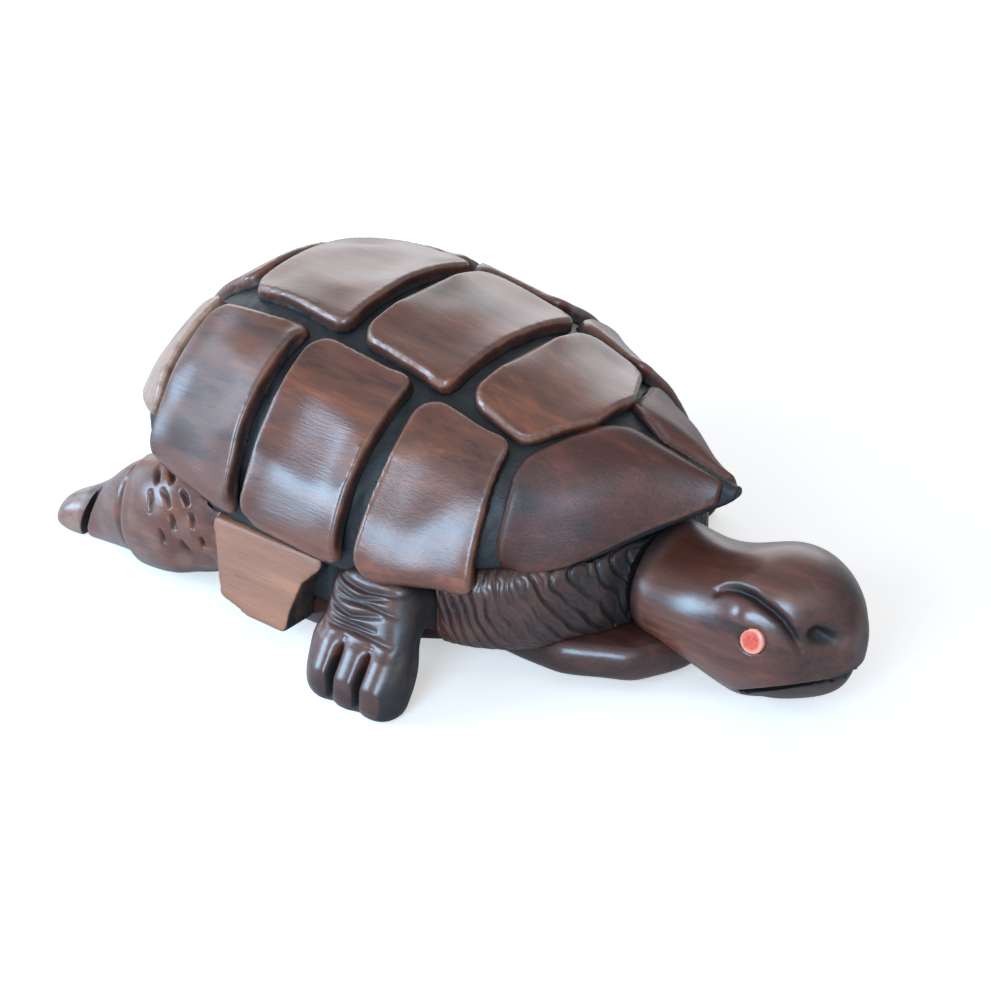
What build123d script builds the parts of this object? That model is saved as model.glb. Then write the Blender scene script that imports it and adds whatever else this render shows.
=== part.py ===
"""Carved hardwood turtle: a dark domed shell set with raised, dished plates, on a low body.

Millimetres. +X is the way the turtle faces, +Y is its left and +Z is up. The origin lies on the
ground, below the middle of the whole figure. The right side is modelled and the left mirrors it.
"""
import os
from math import sqrt

from build123d import *

os.makedirs("parts", exist_ok=True)

# Shell: the finished dome, plates included
shell_rear_x = -78.2
shell_length = 136.0
shell_half_width = 45.5
shell_rim_z = 24.5
shell_crown_z = 62.4
shell_rim_band = 4.0
shell_front_x = shell_rear_x + shell_length


def along_shell(share):
    """Station at a share of the shell's length from its rear."""
    return shell_rear_x + shell_length * share


# Edges of the plates: they divide the shell's length and half width
vertebral_half_width = shell_half_width * 0.4264
tail_scute_half_width = shell_half_width * 0.2747
tail_scute_rear_x = along_shell(0.0515)
rear_seam_x = along_shell(0.175)
vertebral_rear_x = along_shell(0.2206)
costal_groove_rear_x = along_shell(0.3809)
vertebral_groove_rear_x = along_shell(0.436)
costal_groove_middle_x = along_shell(0.5809)
vertebral_groove_front_x = along_shell(0.6257)
costal_groove_front_x = along_shell(0.7544)
vertebral_front_x = along_shell(0.7963)
marginal_front_x = along_shell(0.978)

# Plates on the shell
scute_thickness = 3.0
scute_groove = 3.6
scute_seam = 1.8
scute_corner = 4.5
small_scute_corner = 3.2
leaf_tip_corner = 1.2
scute_edge_round = 1.0
scute_dish_depth = 1.3
scute_dish_radius = 130.0
scute_rim_margin = 1.4
rear_marginal_rise = 7.0

# Body under the shell
belly_z = 3.0
plastron_thickness = 8.0
plastron_edge_round = 3.2
plastron_front_gap = 4.0
plastron_rear_gap = 14.0
plastron_front_x = shell_front_x - plastron_front_gap
plastron_rear_x = shell_rear_x + plastron_rear_gap
torso_inset = 5.5
torso_half_width = shell_half_width - torso_inset
torso_front_x = along_shell(0.6985)
bridge_thickness = 5.0
bridge_rear_x = along_shell(0.311)
bridge_front_x = along_shell(0.5397)
bridge_top_gap = 1.0
bridge_corner = 3.0

# Head and neck
collar_cover = 15.0
head_length = 42.4
collar_x = shell_front_x - collar_cover
nose_x = collar_x + head_length
head_half_width = 14.3
head_half_height = 13.7
head_axis_z = 17.0
neck_root_inset = 4.0
neck_root_half_width = torso_half_width - neck_root_inset
mouth_slit = 0.9
mouth_depth = 2.2
mouth_length = 18.7
mouth_rear_x = nose_x - mouth_length
mouth_z = head_axis_z - 11.2
mouth_bend_rise = 3.6
mouth_front_rise = 6.9
eye_diameter = 5.0
eye_from_nose = 14.6
eye_x = nose_x - eye_from_nose
eye_z = head_axis_z + 2.9
eye_depth = 4.0
eye_crown = 0.9
eye_fit = 0.05
nostril_diameter = 3.6
nostril_from_nose = 5.0
nostril_x = nose_x - nostril_from_nose
nostril_z = head_axis_z + 3.8

# Legs and tail
foreleg_x = along_shell(0.636)
foreleg_width = 20.0
foot_rounding = 0.36
toe_slit = 1.6
toe_slit_spacing = 6.4
toe_slit_length = 16.0
toe_slit_depth = 3.4
toe_slit_lean = 30.0
toe_slit_out = torso_half_width + 14.3
toe_slit_z = 5.2
hind_leg_root_x = along_shell(0.3456)
hind_foot_overhang = 7.0
hind_foot_tip_x = shell_rear_x - hind_foot_overhang
hind_leg_half_width = 9.0
hind_slit_from_tip = 8.5
hind_slit_lean = 19.0
tail_overhang = 2.0
tail_tip_x = shell_rear_x - tail_overhang
tail_tip_radius = 1.2
tail_root_radius = 6.0
tail_z = 12.0
tail_droop = 4.0

# How the shell runs from rear to front: share of its length, share of its half width,
# and the heights of rim and crown as shares of the rise from the lowest rim to the crown
shell_lines = (
    (0.000, 0.20, 0.116, 0.26),
    (0.037, 0.505, 0.092, 0.43),
    (0.118, 0.78, 0.068, 0.75),
    (0.228, 0.923, 0.039, 0.955),
    (0.375, 0.99, 0.026, 1.00),
    (0.566, 1.00, 0.014, 0.885),
    (0.684, 0.88, 0.000, 0.765),
    (0.772, 0.68, 0.014, 0.68),
    (0.846, 0.46, 0.132, 0.62),
    (0.919, 0.22, 0.277, 0.555),
    (1.000, 0.045, 0.397, 0.45),
)
shell_rise = shell_crown_z - shell_rim_z


def line_at(lines, share):
    """Values of a table of stations at a share of the way along it."""
    share = min(1.0, max(0.0, share))
    for before, after in zip(lines, lines[1:]):
        if share <= after[0]:
            t = (share - before[0]) / (after[0] - before[0])
            return [a + (b - a) * t for a, b in zip(before[1:], after[1:])]


def shell_at(x):
    """Half width, rim height and crown height of the finished shell at a station."""
    half, rim, crown = line_at(shell_lines, (x - shell_rear_x) / shell_length)
    return shell_half_width * half, shell_rim_z + shell_rise * rim, shell_rim_z + shell_rise * crown


def on_shell(x, y):
    """Point of the finished shell above a place in plan."""
    half, rim, crown = shell_at(x)
    share = min(1.0, abs(y) / half)
    return Vector(x, y, rim + (crown - rim) * sqrt(1 - share**2))


def on_rim(x, rise):
    """Point on the right side of the finished shell, a little above its rim."""
    half, rim, crown = shell_at(x)
    return Vector(x, -half * sqrt(1 - (rise / (crown - rim)) ** 2), rim + rise)


def crosswise(x):
    """Plane across the turtle, with its own X to the left and its own Y up."""
    return Plane(origin=(x, 0, 0), x_dir=(0, 1, 0), z_dir=(1, 0, 0))


def dome(inset, rim_band):
    """The shell as one solid, its surface a given depth inside the plates', down to below its rim."""
    with BuildPart() as solid:
        for share, half_share, rim_share, crown_share in shell_lines:
            half = shell_half_width * half_share
            thinning = min(1.0, half / (4 * scute_thickness))
            half -= inset * thinning
            rim = shell_rim_z + shell_rise * rim_share
            crown = shell_rim_z + shell_rise * crown_share - inset * thinning
            low = rim - rim_band * thinning
            with BuildSketch(crosswise(shell_rear_x + shell_length * share)):
                with BuildLine():
                    arch = EllipticalCenterArc((0, rim), half, crown - rim, start_angle=0, arc_size=180)
                    Polyline(arch @ 1, (-half, low), (half, low), arch @ 0)
                make_face()
        loft()
    return solid.part


def save(piece, name):
    piece.label = name
    export_step(piece, f"parts/{name}.step")
    return piece


def save_pair(right_piece, name):
    """Write a right-hand piece and its mirror image on the left."""
    save(right_piece, f"right_{name}")
    with BuildPart() as left_piece:
        mirror(right_piece, about=Plane.XZ)
    save(left_piece.part, f"left_{name}")


# Shell core, whose dark surface is the floor of every groove
core = save(dome(scute_thickness, shell_rim_band), "shell_core")
finished_shell = dome(0.0, shell_rim_band / 2)


def scute(face_plane, corners, corner_radius, edge_round, dish_depth):
    """Plate on the shell: a rounded outline cut out of the layer outside the core, then dished."""
    outline = [face_plane.to_local_coords(corner) for corner in corners]
    reach_in = 2.5 * scute_thickness
    reach_out = 5 * scute_thickness
    with BuildPart() as plate:
        with BuildSketch(face_plane.offset(-reach_in)):
            with BuildLine():
                FilletPolyline([(p.X, p.Y) for p in outline], radius=corner_radius, close=True)
            make_face()
        extrude(amount=reach_in + reach_out)
        add(finished_shell, mode=Mode.INTERSECT)
        add(core, mode=Mode.SUBTRACT)
        outer_face = plate.faces().sort_by(Axis(face_plane.origin, face_plane.z_dir))[-1]
        fillet(outer_face.edges(), radius=edge_round)
        box = plate.part.moved(face_plane.location.inverse()).bounding_box()
        over_plate = Plane(face_plane.from_local_coords((box.center().X, box.center().Y, box.max.Z)),
                           z_dir=face_plane.z_dir)
        if dish_depth > 0:
            with Locations(over_plate.offset(scute_dish_radius - dish_depth)):
                Sphere(scute_dish_radius, mode=Mode.SUBTRACT)
    return plate.part


def facing(corners):
    """Plane through a four-cornered plate, facing outwards, with its X from rear to front."""
    rear_low, front_low, front_top, rear_top = corners
    middle = (rear_low + front_low + front_top + rear_top) * 0.25
    along = (front_low - rear_low) + (front_top - rear_top)
    across = (rear_top - rear_low) + (front_top - front_low)
    return Plane(origin=middle, x_dir=along, z_dir=along.cross(across))


# Plates along the back, outlined in plan
half_groove = scute_groove / 2


def back_scute(name, right_corners):
    """Plate that crosses the back, from the corners of its right half in order from the rear."""
    left_corners = [(x, -y) for x, y in reversed(right_corners)]
    corners = [on_shell(x, y) for x, y in right_corners + left_corners]
    level = Plane.XY.offset(min(corner.Z for corner in corners))
    return save(scute(level, corners, scute_corner, scute_edge_round, scute_dish_depth), name)


back_scute("vertebral_scute_rear", [
    (vertebral_rear_x, -vertebral_half_width * 0.84),
    (vertebral_groove_rear_x - half_groove, -vertebral_half_width),
])
back_scute("vertebral_scute_middle", [
    (vertebral_groove_rear_x + half_groove, -vertebral_half_width),
    (vertebral_groove_front_x - half_groove, -vertebral_half_width),
])
shoulder_x = (vertebral_groove_front_x + 2 * vertebral_front_x) / 3
back_scute("vertebral_scute_front", [
    (vertebral_groove_front_x + half_groove, -vertebral_half_width * 0.94),
    (shoulder_x, -vertebral_half_width * 0.96),
    (vertebral_front_x, -vertebral_half_width * 0.28),
])

# Plate over the tail, on the rear slope of the dome
tail_scute_front_x = vertebral_rear_x - scute_groove
tail_corners = [
    on_shell(tail_scute_rear_x, -tail_scute_half_width * 0.6),
    on_shell(tail_scute_front_x, -tail_scute_half_width),
    on_shell(tail_scute_front_x, tail_scute_half_width),
    on_shell(tail_scute_rear_x, tail_scute_half_width * 0.6),
]
tail_scute = scute(facing(tail_corners), tail_corners, small_scute_corner, scute_edge_round, 0.0)
save(tail_scute, "vertebral_scute_tail")

# Plates down each side
costal_top_y = -(vertebral_half_width + scute_groove)


def costal_scute(name, rear_x, front_x, rear_top_y, front_top_y, front_top_x):
    corners = [
        on_rim(rear_x, scute_rim_margin),
        on_rim(front_x, scute_rim_margin),
        on_shell(front_top_x, front_top_y),
        on_shell(rear_x, rear_top_y),
    ]
    save_pair(scute(facing(corners), corners, scute_corner, scute_edge_round, scute_dish_depth), name)


costal_front_edges = [groove - half_groove for groove in (
    costal_groove_rear_x, costal_groove_middle_x, costal_groove_front_x)]
costal_rear_edges = [rear_seam_x + scute_seam / 2]
costal_rear_edges += [edge + scute_groove for edge in costal_front_edges[:2]]
costal_scute("costal_scute_rear", costal_rear_edges[0], costal_front_edges[0],
             costal_top_y * 0.84, costal_top_y, costal_front_edges[0])
costal_scute("costal_scute_middle", costal_rear_edges[1], costal_front_edges[1],
             costal_top_y, costal_top_y, costal_front_edges[1])
costal_scute("costal_scute_front", costal_rear_edges[2], costal_front_edges[2],
             costal_top_y, costal_top_y * 0.93, costal_front_edges[2] - half_groove)

# Leaf-shaped plates that overhang the neck, one on each side of the groove along the middle
leaf_rear_x = costal_groove_front_x + half_groove
leaf_crest_x = vertebral_front_x + scute_groove
leaf_corners = [
    on_rim(leaf_rear_x, scute_rim_margin),
    on_rim(marginal_front_x, scute_rim_margin / 2),
    on_shell(marginal_front_x, -half_groove),
    on_shell(leaf_rear_x, -vertebral_half_width * 1.1),
]
leaf_outline = [
    leaf_corners[0],
    on_rim((leaf_rear_x * 2 + marginal_front_x) / 3, scute_rim_margin / 2),
    on_rim((leaf_rear_x + marginal_front_x * 2) / 3, scute_rim_margin / 2),
    leaf_corners[1],
    leaf_corners[2],
    on_shell(leaf_crest_x, -half_groove * 2.2),
    leaf_corners[3],
]
leaf_rounds = 3 * [scute_corner] + 2 * [leaf_tip_corner] + 2 * [2 * scute_corner]
with BuildPart() as leaf_scute:
    add(scute(facing(leaf_corners), leaf_outline, leaf_rounds, scute_edge_round / 2, 0.0))
    split(bisect_by=Plane.XZ, keep=Keep.TOP)
save_pair(leaf_scute.part, "front_marginal_scute")

# Plates at the rear corners of the shell
rear_plate_corners = [
    on_rim(tail_scute_rear_x, rear_marginal_rise / 2),
    on_rim(rear_seam_x - scute_seam / 2, rear_marginal_rise),
    on_shell(rear_seam_x - scute_seam / 2, -(tail_scute_half_width + scute_groove)),
    on_shell(tail_scute_rear_x, -(tail_scute_half_width * 0.6 + scute_groove)),
]
rear_plane = facing(rear_plate_corners)
rear_scute = scute(rear_plane, rear_plate_corners, small_scute_corner, scute_edge_round, 0.0)
save_pair(rear_scute, "rear_marginal_scute")


def plan_outline(right_points, corner_radius):
    """Closed outline in plan, from the points of its right half in order from the rear."""
    left_points = [(x, -y) for x, y in reversed(right_points)]
    return FilletPolyline(right_points + left_points, radius=corner_radius, close=True)


# Belly plate, with a lobe that shows as a smooth lip under the neck
plastron_top_z = belly_z + plastron_thickness
with BuildPart() as plastron:
    with BuildSketch(Plane.XY.offset(belly_z)):
        with BuildLine():
            plan_outline([
                (plastron_rear_x, -torso_half_width * 0.35),
                (bridge_rear_x - 10, -torso_half_width * 0.85),
                (bridge_rear_x, -torso_half_width),
                (bridge_front_x, -torso_half_width),
                (torso_front_x, -torso_half_width * 0.62),
                ((torso_front_x + plastron_front_x) / 2, -torso_half_width * 0.62),
                (plastron_front_x - 5, -torso_half_width * 0.45),
                (plastron_front_x, -torso_half_width * 0.18),
            ], 2 * plastron_edge_round)
        make_face()
    extrude(amount=plastron_thickness)
    fillet(plastron.faces().sort_by(Axis.Z)[0].edges(), radius=plastron_edge_round)
    fillet(plastron.faces().sort_by(Axis.Z)[-1].edges(), radius=plastron_edge_round)
save(plastron.part, "plastron")

# Torso: the hidden block between belly plate and shell that carries neck, legs and tail
with BuildPart() as torso:
    with BuildSketch(Plane.XY.offset(plastron_top_z)):
        with BuildLine():
            plan_outline([
                (plastron_rear_x + 6, -torso_half_width * 0.35),
                (bridge_rear_x - 8, -torso_half_width * 0.78),
                (bridge_rear_x + 2, -torso_half_width),
                (bridge_front_x - 2, -torso_half_width),
                (bridge_front_x + 6, -torso_half_width * 0.82),
                (torso_front_x, -torso_half_width * 0.78),
            ], 2.0)
        make_face()
    extrude(amount=shell_rim_z - plastron_top_z)
    add(core, mode=Mode.SUBTRACT)
save(torso.part, "torso")

# Bridge plates that close the sides between the legs
bridge_top_z = shell_rim_z - shell_rim_band + bridge_top_gap
bridge_low_z = belly_z + bridge_corner
bridge_length = bridge_front_x - bridge_rear_x
bridge_height = bridge_top_z - bridge_low_z
with BuildPart() as bridge:
    with BuildSketch(Plane.YZ.offset(bridge_rear_x)):
        with BuildLine():
            Polyline(
                (-torso_half_width, bridge_low_z),
                (-torso_half_width - 1.6 * bridge_thickness, bridge_low_z),
                (-torso_half_width - bridge_thickness, bridge_top_z + bridge_corner),
                (-torso_half_width, bridge_top_z + bridge_corner),
                close=True,
            )
        make_face()
    extrude(amount=bridge_length)
    with BuildSketch(Plane.XZ):
        with BuildLine():
            FilletPolyline(
                (bridge_rear_x, bridge_top_z),
                (bridge_front_x, bridge_top_z),
                (bridge_front_x - 0.174 * bridge_length, bridge_low_z + 0.645 * bridge_height),
                (bridge_front_x - 0.225 * bridge_length, bridge_low_z + 0.258 * bridge_height),
                (bridge_front_x - 0.225 * bridge_length, bridge_low_z),
                (bridge_rear_x + 0.45 * bridge_length, bridge_low_z),
                (bridge_rear_x + 0.206 * bridge_length, bridge_low_z + 0.116 * bridge_height),
                radius=bridge_corner * 0.4, close=True,
            )
        make_face()
    extrude(amount=2 * torso_half_width, both=True, mode=Mode.INTERSECT)
    add(plastron.part, mode=Mode.SUBTRACT)
    add(core, mode=Mode.SUBTRACT)
save_pair(bridge.part, "bridge_plate")

# Head: share of the way from collar to nose, shares of half width and half height, rise of the axis
head_lines = (
    (0.00, 0.86, 0.80, 0.5),
    (0.16, 0.93, 0.78, -0.7),
    (0.43, 1.00, 1.00, -1.2),
    (0.66, 0.98, 1.12, -0.4),
    (0.84, 0.72, 0.97, 0.2),
    (0.955, 0.38, 0.70, 0.6),
    (1.00, 0.17, 0.30, 1.5),
)


def head_solid(inset):
    """The head as one solid, its surface a given depth inside the finished head."""
    with BuildPart() as solid:
        for share, width_share, height_share, rise in head_lines:
            with BuildSketch(crosswise(collar_x + (nose_x - collar_x) * share)):
                with Locations((0, head_axis_z + rise)):
                    Ellipse(head_half_width * width_share - inset, head_half_height * height_share - inset)
        loft()
    return solid.part


def head_side(x, z):
    """Plane on the right side of the head at a place seen from the side, facing outwards."""
    width_share, height_share, rise = line_at(head_lines, (x - collar_x) / (nose_x - collar_x))
    half_width = head_half_width * width_share
    half_height = head_half_height * height_share
    up = (z - head_axis_z - rise) / half_height
    y = -half_width * sqrt(1 - up**2)
    return Plane(origin=(x, y, z), x_dir=(1, 0, 0), z_dir=(0, y / half_width**2, up / half_height))


# Eyes: domed plugs let into blind sockets
eye_plane = head_side(eye_x, eye_z)
with BuildPart() as eye:
    with BuildSketch(eye_plane.offset(-eye_depth)):
        Circle(eye_diameter / 2)
    extrude(amount=eye_depth + eye_crown)
    fillet(eye.faces().sort_by(Axis(eye_plane.origin, eye_plane.z_dir))[-1].edges(), radius=eye_crown)
save_pair(eye.part, "eye")
with BuildPart() as eye_socket:
    with BuildSketch(eye_plane):
        Circle(eye_diameter / 2 + eye_fit)
    extrude(amount=eye_depth, both=True)

# Slit of the mouth, running round the front of the head
with BuildPart() as mouth:
    with BuildSketch(Plane.XZ):
        with BuildLine():
            lip = Spline(
                (mouth_rear_x, mouth_z),
                (mouth_rear_x + mouth_length * 0.4, mouth_z + mouth_bend_rise),
                (nose_x + 2, mouth_z + mouth_front_rise),
            )
            Line(lip @ 1, lip @ 1 + Vector(0, mouth_slit))
            upper_lip = Spline(*[lip @ t + Vector(0, mouth_slit) for t in (1, 0.5, 0)])
            Line(upper_lip @ 1, lip @ 0)
        make_face()
    extrude(amount=2 * head_half_width, both=True)
    add(head_solid(mouth_depth), mode=Mode.SUBTRACT)

with BuildPart() as head:
    add(head_solid(0.0))
    add(mouth.part, mode=Mode.SUBTRACT)
    add(plastron.part, mode=Mode.SUBTRACT)
    add(eye_socket.part, mode=Mode.SUBTRACT)
    mirror(eye_socket.part, about=Plane.XZ, mode=Mode.SUBTRACT)
    nostril = head_side(nostril_x, nostril_z).origin
    with Locations((nostril.X, nostril.Y, nostril.Z), (nostril.X, -nostril.Y, nostril.Z)):
        Sphere(nostril_diameter / 2, mode=Mode.SUBTRACT)
save(head.part, "head")

# Neck and shoulders: share of the way from torso to collar, share of the root's half width,
# underside, height and corner rounding of each section
neck_lines = (
    (0.0, 1.03, 8.4, 17.0, 5.0),
    (0.5, 0.85, 8.4, 17.5, 5.5),
    (0.78, 0.60, 7.8, 19.0, 7.0),
    (1.0, 0.345, 6.7, 21.5, 9.5),
)
with BuildPart() as neck:
    for share, width_share, foot, height, rounding in neck_lines:
        with BuildSketch(crosswise(torso_front_x + (collar_x - torso_front_x) * share)):
            with Locations((0, foot + height / 2)):
                RectangleRounded(2 * neck_root_half_width * width_share, height, rounding)
    loft()
    add(core, mode=Mode.SUBTRACT)
    add(plastron.part, mode=Mode.SUBTRACT)
    add(torso.part, mode=Mode.SUBTRACT)
save(neck.part, "neck")

# Forelegs: distance out from the side of the torso, step forwards, underside, height and share
# of the width of each section
foreleg_lines = (
    (-6.0, -1.5, 9.5, 13.0, 1.00),
    (1.0, -1.5, 8.0, 15.0, 1.00),
    (5.5, -0.5, -1.0, 20.5, 1.08),
    (9.5, 0.5, -1.2, 14.5, 1.05),
    (12.5, 0.7, 0.2, 9.0, 0.98),
    (14.5, 1.0, 1.6, 5.0, 0.85),
)
with BuildPart() as foreleg:
    for out, forwards, foot, height, length in foreleg_lines:
        with BuildSketch(Plane.XZ.offset(torso_half_width + out)):
            with Locations((foreleg_x + forwards, foot + height / 2)):
                RectangleRounded(foreleg_width * length, height, height * foot_rounding)
    loft()
    split(bisect_by=Plane.XY, keep=Keep.TOP)
    for other in (core, torso.part, plastron.part, neck.part, bridge.part):
        add(other, mode=Mode.SUBTRACT)
    for step in (-0.5, 0.5):
        slit_middle = (foreleg_x + step * toe_slit_spacing, -toe_slit_out, toe_slit_z)
        with Locations(Location(slit_middle, (-toe_slit_lean, 0, 0))):
            Box(toe_slit, 2 * toe_slit_depth, toe_slit_length, mode=Mode.SUBTRACT)
save_pair(foreleg.part, "foreleg")

# Hind legs: a thigh under the rim of the shell that runs back into a low foot. Share of the way
# from root to toe, distance in from the side of the torso, height of the axis, share of half
# width, half height
hind_lines = (
    (0.000, 7.0, 17.0, 0.67, 7.5),
    (0.167, 5.0, 15.5, 0.94, 11.0),
    (0.352, 4.0, 14.0, 1.00, 12.0),
    (0.500, 4.0, 12.5, 0.94, 11.5),
    (0.648, 5.5, 10.0, 0.84, 10.0),
    (0.796, 6.5, 6.0, 0.72, 7.5),
    (0.926, 5.0, 4.0, 0.61, 5.2),
    (1.000, 3.0, 3.0, 0.33, 2.4),
)
with BuildPart() as hind_leg:
    for share, inwards, z, width_share, half_up in hind_lines:
        with BuildSketch(crosswise(hind_leg_root_x + (hind_foot_tip_x - hind_leg_root_x) * share)):
            with Locations((inwards - torso_half_width, z)):
                Ellipse(hind_leg_half_width * width_share, half_up)
    loft()
    split(bisect_by=Plane.XY, keep=Keep.TOP)
    for other in (core, torso.part, plastron.part, bridge.part):
        add(other, mode=Mode.SUBTRACT)
    hind_slit_middle = (hind_foot_tip_x + hind_slit_from_tip, -torso_half_width, toe_slit_z)
    with Locations(Location(hind_slit_middle, (0, hind_slit_lean, 0))):
        Box(toe_slit, 2 * toe_slit_depth, toe_slit_length, mode=Mode.SUBTRACT)
save_pair(hind_leg.part, "hind_leg")

# Tail, short and tucked under the rear of the shell
tail_root_x = plastron_rear_x + plastron_edge_round
tail_lines = (
    (0.0, tail_root_radius, 0.0),
    (0.6, (tail_root_radius + tail_tip_radius) / 2, tail_droop * 0.4),
    (1.0, tail_tip_radius, tail_droop),
)
with BuildPart() as tail:
    for share, radius, droop in tail_lines:
        with BuildSketch(crosswise(tail_root_x + (tail_tip_x - tail_root_x) * share)):
            with Locations((0, tail_z - droop)):
                Circle(radius)
    loft()
    for other in (core, torso.part, plastron.part):
        add(other, mode=Mode.SUBTRACT)
save(tail.part, "tail")
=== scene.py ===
# %% [markdown]
# # A carved hardwood turtle
# The real figure is a hand-carved turtle in a dark, rosewood-like timber under satin lacquer.
# Raised, dished plates stand out of near-black grooves, gouge cuts wrinkle the neck and legs, and
# the smooth head has two coral-coloured eyes let into it. The solids give every piece its place and
# size. This lesson turns each of them into carved wood.

import math

import bpy
import numpy as np
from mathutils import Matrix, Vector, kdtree


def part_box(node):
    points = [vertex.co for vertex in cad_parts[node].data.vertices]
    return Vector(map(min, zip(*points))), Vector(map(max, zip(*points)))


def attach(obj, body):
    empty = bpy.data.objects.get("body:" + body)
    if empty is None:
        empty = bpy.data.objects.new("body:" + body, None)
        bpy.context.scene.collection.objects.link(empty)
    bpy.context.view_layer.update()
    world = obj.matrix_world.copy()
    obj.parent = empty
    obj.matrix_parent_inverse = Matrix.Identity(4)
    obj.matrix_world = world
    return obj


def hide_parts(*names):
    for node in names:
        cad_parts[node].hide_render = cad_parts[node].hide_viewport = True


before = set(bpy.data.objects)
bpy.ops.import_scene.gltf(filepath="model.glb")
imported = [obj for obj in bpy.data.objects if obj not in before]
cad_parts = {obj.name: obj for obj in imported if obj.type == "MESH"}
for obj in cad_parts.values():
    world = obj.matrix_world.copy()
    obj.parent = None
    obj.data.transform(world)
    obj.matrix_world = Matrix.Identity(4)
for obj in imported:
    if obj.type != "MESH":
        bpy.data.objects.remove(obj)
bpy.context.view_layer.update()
bpy.ops.object.select_all(action="DESELECT")
scene = bpy.context.scene
scene.view_settings.view_transform = "Standard"
print("pieces in the frame:", len(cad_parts))

# %% [markdown]
# ## The camera
# The figure is seen from its right front, from a little above. The camera stands on a sphere round
# a target on the figure. It is then slid sideways and down, square to the view, so that the target
# falls left of and above the middle of the picture without any lens shift.

# %% Camera
MM = 0.001
VIEW_TURN = math.radians(39)
VIEW_RISE = math.radians(28)
VIEW_DISTANCE = 480 * MM
VIEW_TARGET = np.array((-13.2, 0.0, 28.0)) * MM
TARGET_LEFT_AND_UP = 59 / 2400

to_right = np.array((math.cos(VIEW_TURN), math.sin(VIEW_TURN), 0))
to_camera = np.array((
    math.sin(VIEW_TURN) * math.cos(VIEW_RISE),
    -math.cos(VIEW_TURN) * math.cos(VIEW_RISE),
    math.sin(VIEW_RISE),
))
to_top = np.cross(to_camera, to_right)
place = VIEW_TARGET + VIEW_DISTANCE * (to_camera + TARGET_LEFT_AND_UP * (to_right - to_top))
bpy.ops.object.camera_add(location=place)
camera = bpy.context.active_object
camera.name = "camera"
camera.rotation_euler = (math.pi / 2 - VIEW_RISE, 0, VIEW_TURN)
camera.data.sensor_width = 36
camera.data.lens = 86.4
camera.data.clip_start = 0.01
scene.camera = camera
print("camera at", np.round(place, 3))

# %% [markdown]
# ## The room
# The lacquer mirrors a pale room, so a world has to be there for it to mirror. A world that is
# bright for every ray would flood the wood with light. Light Path splits it in three: white to the
# camera, pale blue to reflections, and dim as a light.

# %% World
world = bpy.data.worlds.new("studio")
scene.world = world
world.use_nodes = True
sky = world.node_tree
sky.nodes.clear()
sky_out = sky.nodes.new("ShaderNodeOutputWorld")
sky_light = sky.nodes.new("ShaderNodeBackground")
sky_light.inputs["Color"].default_value = (0.93, 0.96, 1.0, 1)
sky_light.inputs["Strength"].default_value = 0.30
sky_seen = sky.nodes.new("ShaderNodeBackground")
sky_seen.inputs["Color"].default_value = (1, 1, 1, 1)
sky_mirrored = sky.nodes.new("ShaderNodeBackground")
sky_mirrored.inputs["Color"].default_value = (0.90, 0.95, 1.0, 1)
sky_mirrored.inputs["Strength"].default_value = 0.7
sky_path = sky.nodes.new("ShaderNodeLightPath")
sky_glossy = sky.nodes.new("ShaderNodeMixShader")
sky_camera = sky.nodes.new("ShaderNodeMixShader")
sky.links.new(sky_path.outputs["Is Glossy Ray"], sky_glossy.inputs[0])
sky.links.new(sky_light.outputs[0], sky_glossy.inputs[1])
sky.links.new(sky_mirrored.outputs[0], sky_glossy.inputs[2])
sky_direct = sky.nodes.new("ShaderNodeMath")
sky_direct.operation = "ADD"
sky.links.new(sky_path.outputs["Is Camera Ray"], sky_direct.inputs[0])
sky.links.new(sky_path.outputs["Is Transmission Ray"], sky_direct.inputs[1])
sky.links.new(sky_direct.outputs[0], sky_camera.inputs[0])
sky.links.new(sky_glossy.outputs[0], sky_camera.inputs[1])
sky.links.new(sky_seen.outputs[0], sky_camera.inputs[2])
sky.links.new(sky_camera.outputs[0], sky_out.inputs["Surface"])
print("world:", world.name)

# %% [markdown]
# ## Lamps
# Cold, bright patches lie low on the plates and on the head. By the way the surface faces there,
# they mirror windows on the turtle's right and behind it. An area lamp stands for each window, a
# broad one for the room behind, and a weak one fills in from the camera's side.

# %% Lamps
WINDOW_BLUE = (0.48, 0.74, 1.0)


def window(name, direction, distance, width, height, watts, colour):
    """Area lamp in a direction from the figure, turned towards it."""
    way = np.array(direction, float)
    way /= np.linalg.norm(way)
    bpy.ops.object.light_add(type="AREA", location=VIEW_TARGET + way * distance)
    lamp = bpy.context.active_object
    lamp.name = name
    lamp.data.shape = "RECTANGLE"
    lamp.data.size = width
    lamp.data.size_y = height
    lamp.data.energy = watts
    lamp.data.color = colour
    flat = math.hypot(way[0], way[1])
    lamp.rotation_euler = (math.atan2(flat, way[2]), 0, math.atan2(way[1], way[0]) + math.pi / 2)


window("window_rear_right", direction=(-0.62, -0.71, 0.32), distance=0.60,
       width=0.24, height=0.24, watts=3.0, colour=WINDOW_BLUE)
window("window_front_right", direction=(0.30, -0.86, 0.38), distance=0.60,
       width=0.22, height=0.22, watts=2.5, colour=WINDOW_BLUE)
window("window_behind_right", direction=(-0.93, -0.22, 0.28), distance=0.60,
       width=0.26, height=0.24, watts=0.6, colour=(0.56, 0.79, 1.0))
window("room_behind", direction=(-0.62, 0.70, 0.40), distance=0.80,
       width=1.00, height=0.52, watts=2.7, colour=(0.94, 0.97, 1.0))
window("camera_side", direction=(0.62, -0.72, 0.95), distance=0.90,
       width=0.60, height=0.60, watts=1.2, colour=(1.0, 0.98, 0.95))

# %% [markdown]
# ## Ground
# The figure stands on white paper, and a plain plane takes its shadow. To the camera alone the
# paper also glows a little, and more so far away. It then stays white without more light on the
# wood.

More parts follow.
